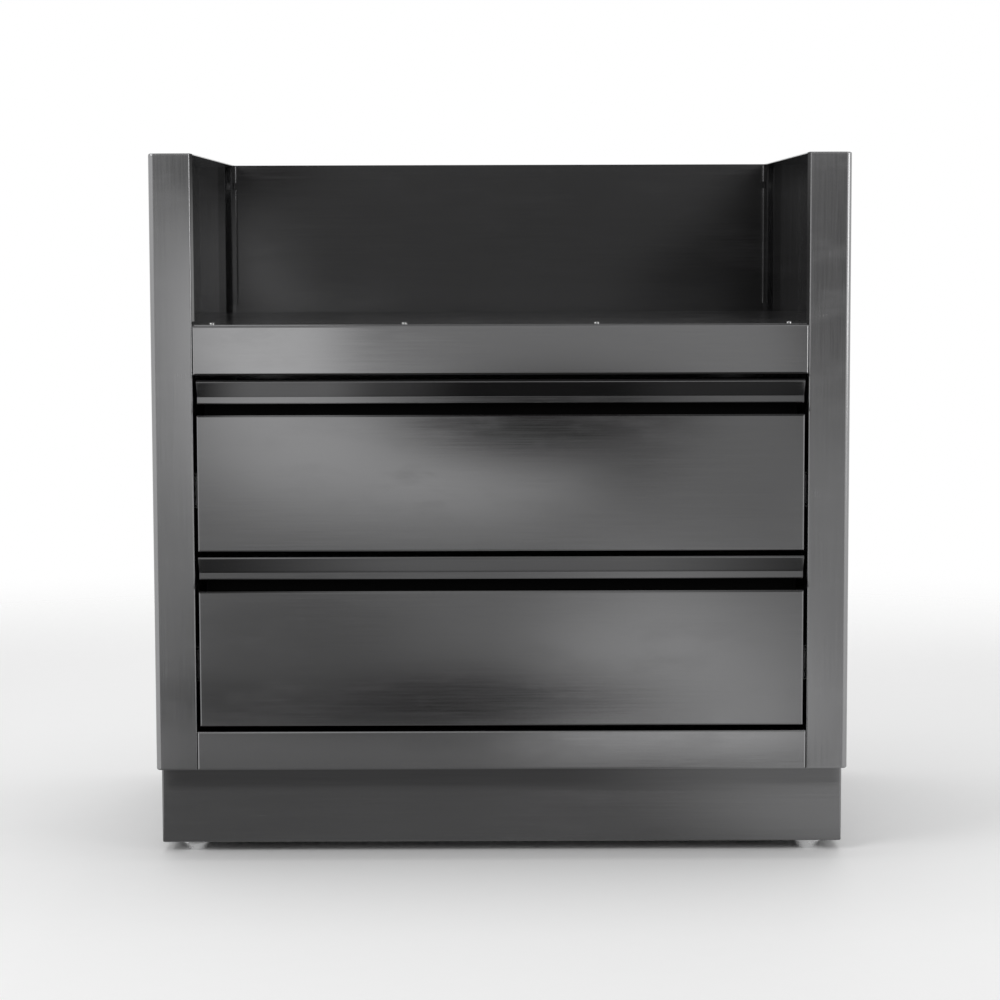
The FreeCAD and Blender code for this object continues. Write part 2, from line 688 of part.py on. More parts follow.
def drawer_front(z0):
    """Flat front folded back on all four sides, hemmed at the top, with fixing lips behind its sides."""
    half = DRAWER_FRONT_HALF
    z1 = z0 + panel_height()
    hem = FRONT + FRONT_TOP_FLANGE
    lip_top = z1 - LINER_DROP - 2 * FIT
    pieces = [
        box(-half, half, FRONT, FRONT + SHEET, z0, z1),
        box(-half, half, FRONT, BOX_FRONT, z0, z0 + SHEET),
        box(-half, half, FRONT, hem, z1 - SHEET, z1),
        box(-half, half, hem - SHEET, hem, z1 - FRONT_HEM, z1),
    ]
    for side in (-1, 1):
        wall = sorted((side * half, side * (half - SHEET)))
        lip = sorted((side * half, side * (half - FRONT_BACK_LIP)))
        pieces.append(box(*wall, FRONT, BOX_FRONT, z0, z1))
        pieces.append(box(*lip, BOX_FRONT - SHEET, BOX_FRONT, z0, lip_top))
    shape = rounded(fuse(pieces), BEND, [
        ("z", {"x": -half, "y": FRONT}),
        ("z", {"x": half, "y": FRONT}),
        ("x", {"y": FRONT, "z": z0}),
        ("x", {"y": FRONT, "z": z1}),
    ])
    return drilled(shape, front_panel_screws(z0))


def pull_rail(z0):
    """Scooped strip over the finger gap: a top flange, a face that slopes in, a lip and a short return."""
    top = z0 + DRAWER_FRONT_HEIGHT
    lip_top = top - PULL_STRIP_HEIGHT
    lip_foot = lip_top - PULL_LIP_HEIGHT
    scoop = FRONT + PULL_SCOOP_DEPTH
    faces = [(BOX_FRONT + PULL_TOP_LAP, top), (FRONT, top), (scoop, lip_top),
             (scoop, lip_foot), (scoop + PULL_RETURN, lip_foot)]
    shape = folded_strip(faces, SHEET, BEND, -DRAWER_FRONT_HALF, DRAWER_FRONT_HALF)
    return drilled(shape, pull_screws(z0))


def finger_liner(z0):
    """Moulded channel behind the finger gap, closed at the back and open to the front."""
    low = z0 + panel_height() - LINER_DROP
    high = z0 + DRAWER_FRONT_HEIGHT - SHEET
    points = [(FRONT + FRONT_TOP_FLANGE, low), (BOX_FRONT, low), (BOX_FRONT, high),
              (BOX_FRONT - LINER_TOP_LEG, high)]
    return folded_strip(points, LINER_WALL, BEND, -BOX_HALF, BOX_HALF)


def box_front(z0):
    """Front wall of the drawer box, with a flange under the pull rail."""
    high = z0 + DRAWER_FRONT_HEIGHT - SHEET
    shape = fuse([
        box(-BOX_HALF, BOX_HALF, BOX_FRONT, BOX_FRONT + SHEET, z0 + BOX_LIFT, high),
        box(-BOX_HALF, BOX_HALF, BOX_FRONT, BOX_FRONT + PULL_TOP_LAP, high - SHEET, high),
    ])
    return drilled(shape, front_panel_screws(z0) + pull_screws(z0))


def box_left_side(z0):
    """Side wall of the drawer box: a rim at the top and a shelf for the bottom."""
    low = z0 + BOX_LIFT
    high = z0 + panel_height() - BOX_SIDE_DROP
    y0 = BOX_FRONT + SHEET
    shape = fuse([
        box(-BOX_HALF, -BOX_HALF + SHEET, y0, BOX_BACK, low, high),
        box(-BOX_HALF, -BOX_HALF + BOX_RIM, y0, BOX_BACK, high - SHEET, high),
        box(-BOX_HALF, -BOX_HALF + BOX_SHELF, y0, BOX_BACK, low, low + SHEET),
    ])
    shape = rounded(shape, BEND, [("y", {"x": -BOX_HALF, "z": high}), ("y", {"x": -BOX_HALF, "z": low})])
    return drilled(shape, inner_slide_screws(z0))


def box_back(z0):
    """Back wall of the drawer box, standing on the bottom between the sides."""
    half = BOX_HALF - SHEET
    low = z0 + BOX_LIFT + 2 * SHEET
    high = z0 + panel_height() - BOX_BACK_DROP
    return fuse([
        box(-half, half, BOX_BACK - SHEET, BOX_BACK, low, high),
        box(-half, half, BOX_BACK - BOX_RIM, BOX_BACK, high - SHEET, high),
    ])


def box_bottom(z0):
    """Bottom of the drawer box, on the shelves of its sides."""
    half = BOX_HALF - SHEET
    low = z0 + BOX_LIFT + SHEET
    return box(-half, half, BOX_FRONT + SHEET, BOX_BACK, low, low + SHEET)


def all_parts():
    """Every node's name and its solids."""
    left_panel = left_side_panel()
    left_strip = left_corner_strip()
    left_slides = left_slide_panel()
    parts = {
        "left_side_panel": [left_panel],
        "right_side_panel": [mirrored(left_panel)],
        "back_panel": [back_panel()],
        "bay_corner_strips": [left_strip, mirrored(left_strip)],
        "top_rail": [front_rail(Z_HEAD, Z_DECK, RAIL_END_TAB)],
        "bottom_rail": [front_rail(Z_BASE, Z_SILL, KICK_RECESS + KICK_FLANGE)],
        "grill_deck": [tray(Z_DECK, DECK_UPSTAND)],
        "floor_panel": [tray(Z_BASE + SHEET, FLOOR_UPSTAND)],
        "left_slide_panel": [left_slides],
        "right_slide_panel": [mirrored(left_slides)],
        "toe_kick": [toe_kick()],
        "rear_plinth": [rear_plinth()],
        "foot_brackets": [foot_bracket(*at) for at in foot_places().values()],
        "levelling_nuts": [levelling_nut(*at) for at in foot_places().values()],
        "deck_screws": [screw(*s) for s in deck_screws()],
        "back_panel_screws": [screw(*s) for s in back_panel_screws()],
        "rail_screws": [screw(*s) for s in rail_screws()],
        "toe_kick_screws": [screw(*s) for s in kick_screws()],
        "slide_screws": [screw(*s) for s in slide_screws()],
    }
    bumpers = [slide_bumper(z0) for z0 in DRAWER_Z.values()]
    parts["slide_bumpers"] = bumpers + [mirrored(b) for b in bumpers]
    for name, at in foot_places().items():
        parts[f"{name}_foot"] = [foot(*at)]
    for name, z0 in DRAWER_Z.items():
        for member, made in (("outer", slide_outer(z0)), ("mid", slide_mid(z0)), ("inner", slide_inner(z0))):
            parts[f"{name}_left_slide_{member}"] = [made]
            parts[f"{name}_right_slide_{member}"] = [mirrored(made)]
        for stage, made in (("outer", outer_cage(z0)), ("inner", inner_cage(z0))):
            parts[f"{name}_{stage}_ball_cages"] = made + [mirrored(s) for s in made]
        side = box_left_side(z0)
        screws = front_panel_screws(z0) + pull_screws(z0) + inner_slide_screws(z0)
        parts.update({
            f"{name}_drawer_front": [drawer_front(z0)],
            f"{name}_pull_rail": [pull_rail(z0)],
            f"{name}_finger_liner": [finger_liner(z0)],
            f"{name}_box_front": [box_front(z0)],
            f"{name}_box_left_side": [side],
            f"{name}_box_right_side": [mirrored(side)],
            f"{name}_box_back": [box_back(z0)],
            f"{name}_box_bottom": [box_bottom(z0)],
            f"{name}_drawer_screws": [screw(*s) for s in screws],
        })
    return parts


def main():
    os.makedirs("parts", exist_ok=True)
    for name, solids in all_parts().items():
        shape = solids[0] if len(solids) == 1 else Part.makeCompound(solids)
        shape.exportStep(os.path.join("parts", f"{name}.step"))
    print(f"height {Z_TOP:.1f}, drawer front {DRAWER_FRONT_HEIGHT:.1f}, flat front {panel_height():.1f}")


main()
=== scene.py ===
import bpy
import math
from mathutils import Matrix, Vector

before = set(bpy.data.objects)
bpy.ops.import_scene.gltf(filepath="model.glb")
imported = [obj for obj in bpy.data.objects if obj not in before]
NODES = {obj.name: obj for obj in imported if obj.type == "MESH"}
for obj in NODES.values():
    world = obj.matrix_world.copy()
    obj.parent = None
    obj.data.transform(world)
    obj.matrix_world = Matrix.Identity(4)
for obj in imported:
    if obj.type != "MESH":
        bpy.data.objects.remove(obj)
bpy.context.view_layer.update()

# Camera at the photograph's angle, in metres and degrees, with its lens in mm
CAMERA_PLACE = (-0.0056, -3.862, 0.807)
CAMERA_TURN = (84.60, 0.16, -0.085)
CAMERA_LENS = 100.1
SENSOR = 36.0

# Room light and soft lights, each light as place, size and power
WHITE = (1, 1, 1, 1)
BACKGROUND = 1.0
ROOM_GLOW = 0.60
LIGHT_AIM = (0, 0, 0.5)
SOFT_LIGHTS = {
    "key_left": ((-2.6, -2.6, 2.4), (1.8, 1.4), 40),
    "fill_right": ((2.8, -2.2, 1.2), (1.4, 1.4), 16),
    "top": ((0, 0.2, 3.4), (2.4, 2.0), 26),
    "back": ((0.6, 3.4, 2.2), (2.0, 1.4), 20),
}

# Pale floor, plain as far as FLOOR_CLEAR and faded out at FLOOR_END
FLOOR_COLOUR = (0.93, 0.93, 0.93, 1)
FLOOR_SPECKLE = 0.99
FLOOR_SPECKLE_SCALE = 30.0
FLOOR_SPECKLE_DETAIL = 2.0
FLOOR_ROUGHNESS = 0.9
FLOOR_SHINE = 0.05
FLOOR_CLEAR = 1.5
FLOOR_END = 3.0

# Studio cards that the steel mirrors, each with a plain level and soft patches
# A patch is its middle, its reach, its level and, where it slants, its lean in degrees
PATCH_EDGE = (0.0, 0.7)
PATCH_DEPTH = 100.0
FRONT_CARD_Y = -1.05
FRONT_CARD_HALF = 0.68
FRONT_CARD_TOP = 2.0
FRONT_CARD_LEVEL = 0.47
FRONT_CARD_PATCHES = [
    ((0.52, 0.78), (0.10, 0.40), 0.16),
    ((-0.41, 0.91), (0.21, 0.06), 0.05),
    ((-0.37, 0.65), (0.19, 0.27), 1.18),
    ((-0.14, 0.47), (0.43, 0.16), 1.16),
    ((0.06, 0.525), (0.34, 0.10), 0.02),
    ((0.21, 0.46), (0.10, 0.06), 0.31),
    ((0.25, 0.01), (0.33, 0.40), 1.05),
    ((-0.20, 0.085), (0.70, 0.07), 0.02),
    ((-0.33, 0.19), (0.28, 0.15), 0.30),
]
FLOOR_CARD_NEAR = -0.255
FLOOR_CARD_HEIGHT = 0.002
FLOOR_CARD_HALF = 0.54
FLOOR_CARD_LEVEL = 0.25
FLOOR_CARD_PATCHES = [((0.56, -0.55), (0.42, 0.50), 0.62)]
CEILING_CARD_FAR = 0.8
CEILING_CARD_LEVEL = 0.50
REAR_CARD_SPAN = (1.09, 2.0)
REAR_CARD_LEVEL = 0.15
PLINTH_CARD_Y = -0.300
PLINTH_CARD_HALF = 0.45
PLINTH_CARD_SPAN = (0.0775, 0.1195)
PLINTH_CARD_LEVEL = 0.17
PLINTH_CARD_PATCHES = [((0.48, 0.10), (0.42, 1.0), 0.42)]
BAY_CARD_Y = -0.275
BAY_CARD_HALF = 0.440
BAY_CARD_SPAN = (0.700, 1.050)
BAY_CARD_LEVEL = 0.13
BAY_CARD_PATCHES = [
    ((0.36, 0.70), (0.45, 0.16), 0.045, 38.0),
    ((0.51, 0.82), (0.17, 0.42), 0.02),
    ((-0.46, 0.73), (0.17, 0.17), 0.30),
    ((-0.44, 0.94), (0.20, 0.10), 0.04),
]
PULL_CARD_SPAN = (-0.336, -0.299)
PULL_CARD_HALF = 0.393
PULL_TOP_CARD_Z = 0.6285
PULL_TOP_CARD_LEVEL = 0.05
UPPER_PULL_CARD_Z = 0.584
UPPER_PULL_CARD_LEVEL = 0.035
UPPER_PULL_CARD_PATCHES = [
    ((-0.22, -0.32), (0.19, 1.0), 0.19),
    ((-0.275, -0.32), (0.13, 1.0), 0.46),
    ((0.29, -0.32), (0.16, 1.0), 0.09),
]
LOWER_PULL_CARD_Z = 0.3565
LOWER_PULL_CARD_LEVEL = 0.08
LOWER_PULL_CARD_PATCHES = [((0.03, -0.32), (0.43, 1.0), 0.45)]

# Colours of the finishes, as linear colour
# Post and rail steel: the drawer-front steel painted lighter, as painted light
POST_STEEL_PAINTED_LIGHT = (0.295, 0.295, 0.299, 1)
FRONT_STEEL = (0.220, 0.220, 0.223, 1)
# Pull steel: the drawer-front steel painted darker, as painted shade on the pull strips
PULL_STEEL_PAINTED_SHADE = (0.195, 0.195, 0.198, 1)
INNER_STEEL = (0.48, 0.48, 0.485, 1)
ZINC = (0.52, 0.53, 0.54, 1)
SCREW_STEEL = (0.42, 0.42, 0.42, 1)
FOOT_STEEL = (0.80, 0.80, 0.805, 1)
# Near-black liner that stands for the deep shadow inside the finger slots: painted shade
LINER_PAINTED_SHADE_BLACK = (0.003, 0.003, 0.003, 1)
RUBBER_BLACK = (0.018, 0.018, 0.018, 1)

# Brush lines, with their scales per metre across and along the grain
LINES_ACROSS = 1500.0
LINES_ALONG = 14.0
LINE_DETAIL = 3.0
FINE_LINE_BREAKS = 0.7
COARSE_LINE_BREAKS = 0.6
COARSE_LINE_SCALE = 0.4
FINE_LINE_SHARE = 0.6
LINE_RANGE = (0.30, 0.70)
LINE_GLOSS = 0.08
LINE_RELIEF = 0.006

# Rolled sheet: slow clouding, wipe marks and waviness
CLOUD_SCALE = (2.2, 2.2, 3.4)
CLOUD_DETAIL = 2.0
CLOUD_BREAKS = 0.5
CLOUD_RANGE = (0.32, 0.68)
CLOUD_SHARE = 0.5
WIPE_SCALE = (9.0, 9.0, 26.0)
WIPE_DETAIL = 5.0
WIPE_BREAKS = 0.6
WIPE_RANGE = (0.48, 0.72)
WIPE_GLOSS = 0.05
WAVE_SCALE = 3.2
WAVE_DETAIL = 0.0
SHEET_RELIEF = 0.002

# Rubbed edges painted lighter: partly real rubbed wear, partly a painted highlight along edges and folds
WEAR_AND_HIGHLIGHT_REACH = 0.002
WEAR_AND_HIGHLIGHT_SAMPLES = 4
WEAR_AND_HIGHLIGHT_RIM = (0.74, 0.99)
WEAR_AND_HIGHLIGHT_PATCH_SCALE = 45.0
WEAR_AND_HIGHLIGHT_PATCH_DETAIL = 4.0
WEAR_AND_HIGHLIGHT_PATCH_RANGE = (0.34, 0.62)
WEAR_AND_HIGHLIGHT_PATCH_STRENGTH = (0.25, 1.0)
# How much lighter the edges are painted: rubbed wear together with a painted highlight
WEAR_AND_HIGHLIGHT_SHADE = 1.7

# Zinc plate
CRYSTAL_SCALE = 140.0
CRYSTAL_SHARE = 0.5
ZINC_LINE_SCALE = (900.0, 20.0, 900.0)
ZINC_SHADES = (0.86, 1.1)
ZINC_ROUGHNESS = (0.26, 0.42)
ZINC_RELIEF = 0.05

# Turned steel
RING_SPREAD = 12.0
TURNED_TONE_SCALE = (8.0, 8.0, 8.0)
TURNED_SHADES = (0.88, 1.08)
TURNED_ROUGHNESS = 0.20
TURNED_WIPE_GLOSS = 0.10
TURNED_RELIEF = 0.10
FINE_RELIEF_HEIGHT = 0.0003

# Moulded liner and rubber
PEBBLE_DETAIL = 4.0
PEBBLE_RANGE = (0.3, 0.7)
PEBBLE_SHADES = (0.7, 1.3)
PEBBLE_GLOSS = 0.08
PEBBLE_RELIEF = 0.2
PEBBLE_HEIGHT = 0.0004


# Node helpers
def new_group(name, inputs, outputs):
    """An empty shader group with float or vector inputs, given as name: default, and named float outputs."""
    group = bpy.data.node_groups.new(name, "ShaderNodeTree")
    for label, default in inputs.items():
        kind = "NodeSocketVector" if label == "Vector" else "NodeSocketFloat"
        socket = group.interface.new_socket(label, in_out="INPUT", socket_type=kind)
        if kind == "NodeSocketFloat":
            socket.default_value = default
    for label in outputs:
        group.interface.new_socket(label, in_out="OUTPUT", socket_type="NodeSocketFloat")
    start = group.nodes.new("NodeGroupInput")
    end = group.nodes.new("NodeGroupOutput")
    return group, start, end


def math_node(tree, operation, a, b):
    """A math node fed by sockets or plain numbers, and its result."""
    node = tree.nodes.new("ShaderNodeMath")
    node.operation = operation
    for socket, value in zip(node.inputs, (a, b)):
        if isinstance(value, (int, float)):
            socket.default_value = value
        else:
            tree.links.new(value, socket)
    return node.outputs[0]


def blend_values(tree, first, second, share):
    """Two values added up, the first by its share and the second by the rest."""
    first_part = math_node(tree, "MULTIPLY", first, share)
    second_part = math_node(tree, "MULTIPLY", second, 1 - share)
    return math_node(tree, "ADD", first_part, second_part)


def noise_node(tree, vector, scale, detail, breaks=0.55):
    """A noise texture on a vector, and its value."""
    node = tree.nodes.new("ShaderNodeTexNoise")
    node.inputs["Scale"].default_value = scale
    node.inputs["Detail"].default_value = detail
    node.inputs["Roughness"].default_value = breaks
    tree.links.new(vector, node.inputs["Vector"])
    return node.outputs["Fac"]


def range_node(tree, value, span, result=(0.0, 1.0)):
    """A value mapped smoothly from one range to another and held inside it."""
    node = tree.nodes.new("ShaderNodeMapRange")
    node.interpolation_type = "SMOOTHSTEP"
    for socket, number in zip(node.inputs[1:5], (*span, *result)):
        socket.default_value = number
    tree.links.new(value, node.inputs[0])
    return node.outputs[0]


def stretch_node(tree, vector, scale):
    """A vector with each axis scaled."""
    node = tree.nodes.new("ShaderNodeMapping")
    node.inputs["Scale"].default_value = scale
    tree.links.new(vector, node.inputs["Vector"])
    return node.outputs["Vector"]


# Shared effects
def make_brushed_grain():
    """Fine and coarse brush lines on a vector that is already stretched along the grain."""
    group, start, end = new_group("brushed_grain", {"Vector": None}, ["Lines", "Height"])
    vector = start.outputs["Vector"]
    wider = stretch_node(group, vector, (COARSE_LINE_SCALE, COARSE_LINE_SCALE, COARSE_LINE_SCALE))
    fine = noise_node(group, vector, 1.0, LINE_DETAIL, FINE_LINE_BREAKS)
    coarse = noise_node(group, wider, 1.0, LINE_DETAIL, COARSE_LINE_BREAKS)
    lines = blend_values(group, fine, coarse, FINE_LINE_SHARE)
    group.links.new(range_node(group, lines, LINE_RANGE), end.inputs["Lines"])
    group.links.new(lines, end.inputs["Height"])
    return group


def make_rolled_tone():
    """Slow clouding and waviness of rolled sheet, with faint wipe marks."""
    group, start, end = new_group("rolled_tone", {"Vector": None}, ["Cloud", "Wipe", "Wave"])
    vector = start.outputs["Vector"]
    cloud = noise_node(group, stretch_node(group, vector, CLOUD_SCALE), 1.0, CLOUD_DETAIL, CLOUD_BREAKS)
    wipe = noise_node(group, stretch_node(group, vector, WIPE_SCALE), 1.0, WIPE_DETAIL, WIPE_BREAKS)
    wave = noise_node(group, vector, WAVE_SCALE, WAVE_DETAIL)
    group.links.new(range_node(group, cloud, CLOUD_RANGE), end.inputs["Cloud"])
    group.links.new(range_node(group, wipe, WIPE_RANGE), end.inputs["Wipe"])
    group.links.new(wave, end.inputs["Wave"])
    return group


def make_edge_wear_and_highlight():
    """Rubbed metal along edges and folds, broken up into short patches; partly real wear and partly a
    painted highlight of the folds.
    """
    group, start, end = new_group("edge_wear_and_highlight", {"Vector": None, "Reach": WEAR_AND_HIGHLIGHT_REACH}, ["Edge"])
    eased = group.nodes.new("ShaderNodeBevel")
    eased.samples = WEAR_AND_HIGHLIGHT_SAMPLES
    group.links.new(start.outputs["Reach"], eased.inputs["Radius"])
    flat = group.nodes.new("ShaderNodeNewGeometry")
    match = group.nodes.new("ShaderNodeVectorMath")
    match.operation = "DOT_PRODUCT"
    group.links.new(eased.outputs["Normal"], match.inputs[0])
    group.links.new(flat.outputs["Normal"], match.inputs[1])
    rim = range_node(group, match.outputs["Value"], WEAR_AND_HIGHLIGHT_RIM, (1.0, 0.0))
    breaks = noise_node(group, start.outputs["Vector"], WEAR_AND_HIGHLIGHT_PATCH_SCALE, WEAR_AND_HIGHLIGHT_PATCH_DETAIL)
    patch = range_node(group, breaks, WEAR_AND_HIGHLIGHT_PATCH_RANGE, WEAR_AND_HIGHLIGHT_PATCH_STRENGTH)
    group.links.new(math_node(group, "MULTIPLY", rim, patch), end.inputs["Edge"])
    return group


GRAIN = make_brushed_grain()
TONE = make_rolled_tone()
WEAR_AND_HIGHLIGHT = make_edge_wear_and_highlight()


# Finishes
def new_material(name):
    """A node material, its tree, its shader and its object coordinates."""
    material = bpy.data.materials.new(name)
    material.use_nodes = True
    tree = material.node_tree
    shader = tree.nodes["Principled BSDF"]
    place = tree.nodes.new("ShaderNodeTexCoord").outputs["Object"]
    return material, tree, shader, place


def group_node(tree, group, vector):
    """A shared effect placed in a material, on a vector."""
    node = tree.nodes.new("ShaderNodeGroup")
    node.node_tree = group
    tree.links.new(vector, node.inputs["Vector"])
    return node


def shade_node(tree, factor, dark, light):
    """A colour between two, by a factor. Each colour is a plain one or a socket."""
    node = tree.nodes.new("ShaderNodeMix")
    node.data_type = "RGBA"
    for label, colour in (("A", dark), ("B", light)):
        socket = next(s for s in node.inputs if s.name == label and s.type == "RGBA")
        if isinstance(colour, tuple):
            socket.default_value = colour
        else:
            tree.links.new(colour, socket)
    tree.links.new(factor, node.inputs[0])
    return next(s for s in node.outputs if s.type == "RGBA")


def scaled(colour, by):
    """A colour made darker or lighter."""
    return tuple(c * by for c in colour[:3]) + (1,)


def shades(colour, pair):
    """A colour's dark and light shade."""
    return [scaled(colour, by) for by in pair]


def bump(tree, shader, height, strength, distance):
    """Fine relief on a shader's normal."""
    node = tree.nodes.new("ShaderNodeBump")
    node.inputs["Strength"].default_value = strength
    node.inputs["Distance"].default_value = distance
    tree.links.new(height, node.inputs["Height"])
    tree.links.new(node.outputs["Normal"], shader.inputs["Normal"])


def brushed_steel(name, colour, along, roughness, contrast=0.10, rubbed_and_highlight=0.4):
    """Stainless sheet brushed along one axis: lines in its colour and gloss, clouds, wipe marks, and edges
    painted lighter as rubbed wear and painted highlight.
    """
    material, tree, shader, place = new_material(name)
    stretch = [LINES_ALONG if axis == along else LINES_ACROSS for axis in "xyz"]
    grain = group_node(tree, GRAIN, stretch_node(tree, place, stretch))
    tone = group_node(tree, TONE, place)
    wear_and_highlight = group_node(tree, WEAR_AND_HIGHLIGHT, place)
    mixed = blend_values(tree, grain.outputs["Lines"], tone.outputs["Cloud"], 1 - CLOUD_SHARE)
    base = shade_node(tree, mixed, *shades(colour, (1 - contrast, 1 + contrast)))
    # Edges painted lighter: real rubbed wear together with a painted highlight of the folds
    worn_and_highlight = math_node(tree, "MULTIPLY", wear_and_highlight.outputs["Edge"], rubbed_and_highlight)
    base = shade_node(tree, worn_and_highlight, base, scaled(colour, WEAR_AND_HIGHLIGHT_SHADE))
    line_gloss = math_node(tree, "MULTIPLY", grain.outputs["Lines"], LINE_GLOSS)
    wipe_gloss = math_node(tree, "MULTIPLY", tone.outputs["Wipe"], WIPE_GLOSS)
    gloss = math_node(tree, "ADD", line_gloss, roughness - LINE_GLOSS / 2)
    gloss = math_node(tree, "ADD", gloss, wipe_gloss)
    tree.links.new(base, shader.inputs["Base Color"])
    tree.links.new(gloss, shader.inputs["Roughness"])
    shader.inputs["Metallic"].default_value = 1.0
    line_height = math_node(tree, "MULTIPLY", grain.outputs["Height"], LINE_RELIEF)
    relief = math_node(tree, "ADD", line_height, tone.outputs["Wave"])
    bump(tree, shader, relief, 1.0, SHEET_RELIEF)
    return material


def zinc_plate(name, colour):
    """Bright plated steel with a faint crystal pattern and rolling lines."""
    material, tree, shader, place = new_material(name)
    crystals = tree.nodes.new("ShaderNodeTexVoronoi")
    crystals.inputs["Scale"].default_value = CRYSTAL_SCALE
    tree.links.new(place, crystals.inputs["Vector"])
    lines = group_node(tree, GRAIN, stretch_node(tree, place, ZINC_LINE_SCALE))
    parts = tree.nodes.new("ShaderNodeSeparateColor")
    tree.links.new(crystals.outputs["Color"], parts.inputs[0])
    mixed = blend_values(tree, parts.outputs[0], lines.outputs["Lines"], CRYSTAL_SHARE)
    base = shade_node(tree, mixed, *shades(colour, ZINC_SHADES))
    tree.links.new(base, shader.inputs["Base Color"])
    tree.links.new(range_node(tree, mixed, (0.0, 1.0), ZINC_ROUGHNESS), shader.inputs["Roughness"])
    shader.inputs["Metallic"].default_value = 1.0
    bump(tree, shader, lines.outputs["Height"], ZINC_RELIEF, FINE_RELIEF_HEIGHT)
    return material


def turned_steel(name, colour, rings):
    """Lathe-turned steel: fine rings stacked up its height, so many to the metre."""
    material, tree, shader, place = new_material(name)
    turned = group_node(tree, GRAIN, stretch_node(tree, place, (RING_SPREAD, RING_SPREAD, rings)))
    tone = group_node(tree, TONE, stretch_node(tree, place, TURNED_TONE_SCALE))
    base = shade_node(tree, turned.outputs["Lines"], *shades(colour, TURNED_SHADES))
    tree.links.new(base, shader.inputs["Base Color"])
    wipe_gloss = math_node(tree, "MULTIPLY", tone.outputs["Wipe"], TURNED_WIPE_GLOSS)
    gloss = math_node(tree, "ADD", wipe_gloss, TURNED_ROUGHNESS)
    tree.links.new(gloss, shader.inputs["Roughness"])
    shader.inputs["Metallic"].default_value = 1.0
    bump(tree, shader, turned.outputs["Height"], TURNED_RELIEF, FINE_RELIEF_HEIGHT)
    return material


def moulded(name, colour, roughness, pebbles, shine):
    """Moulded plastic or rubber with a fine pebble grain."""
    material, tree, shader, place = new_material(name)
    pebble = noise_node(tree, place, pebbles, PEBBLE_DETAIL)
    base = shade_node(tree, pebble, *shades(colour, PEBBLE_SHADES))
    tree.links.new(base, shader.inputs["Base Color"])
    gloss = range_node(tree, pebble, PEBBLE_RANGE, (roughness - PEBBLE_GLOSS, roughness + PEBBLE_GLOSS))
    tree.links.new(gloss, shader.inputs["Roughness"])
    shader.inputs["Specular IOR Level"].default_value = shine
    bump(tree, shader, pebble, PEBBLE_RELIEF, PEBBLE_HEIGHT)
    return material


FINISHES = {
    # Posts and rails carry painted light through their lighter colour
    "posts": brushed_steel("brushed_steel_upright", POST_STEEL_PAINTED_LIGHT, along="z", roughness=0.20, contrast=0.06),
    "rails": brushed_steel("brushed_steel_rail", POST_STEEL_PAINTED_LIGHT, along="x", roughness=0.17, rubbed_and_highlight=0.2),
    "fronts": brushed_steel("brushed_steel_drawer", FRONT_STEEL, along="x", roughness=0.17),
    # The pull strips carry painted shade through their darker colour
    "pulls": brushed_steel("brushed_steel_pull", PULL_STEEL_PAINTED_SHADE, along="x", roughness=0.17, rubbed_and_highlight=0.1),
    "plinth": brushed_steel("brushed_steel_plinth", FRONT_STEEL, along="x", roughness=0.20),
    "bay": brushed_steel("brushed_steel_bay", FRONT_STEEL, along="x", roughness=0.18, rubbed_and_highlight=0.15),
    "inner": brushed_steel("mill_steel_inner", INNER_STEEL, along="y", roughness=0.34),
    "zinc": zinc_plate("bright_zinc", ZINC),
    "screws": turned_steel("screw_steel", SCREW_STEEL, rings=2600.0),
    "feet": turned_steel("turned_foot_steel", FOOT_STEEL, rings=1800.0),
    # The finger-slot liner is painted near-black with little shine, as painted shade
    "liner": moulded("black_liner_painted_shade", LINER_PAINTED_SHADE_BLACK, roughness=0.75, pebbles=900.0, shine=0.03),
    "rubber": moulded("black_rubber", RUBBER_BLACK, roughness=0.8, pebbles=600.0, shine=0.3),
}

# Words in a node's name and its finish. The first words that match count
FINISH_OF = [
    ("_side_panel", "posts"),
    ("back_panel_screws", "screws"),
    ("back_panel", "bay"),
    ("rail_screws", "screws"),
    ("corner_strips", "bay"),
    ("pull_rail", "pulls"),
    ("_rail", "rails"),
    ("grill_deck", "bay"),
    ("screws", "screws"),
    ("levelling_nuts", "zinc"),
    ("foot_brackets", "zinc"),
    ("bumpers", "rubber"),
    ("liner", "liner"),
    ("drawer_front", "fronts"),
    ("_foot", "feet"),
    ("slide_panel", "inner"),
    ("floor_panel", "inner"),
    ("box_", "inner"),
    ("toe_kick", "plinth"),
    ("rear_plinth", "plinth"),
    ("slide_", "zinc"),
    ("ball_cages", "zinc"),
]


def finish_cad_nodes():
    """Gives every CAD node its finish."""
    for name, node in NODES.items():
        finish = next(kind for words, kind in FINISH_OF if words in name)
        node.data.materials.clear()
        node.data.materials.append(FINISHES[finish])


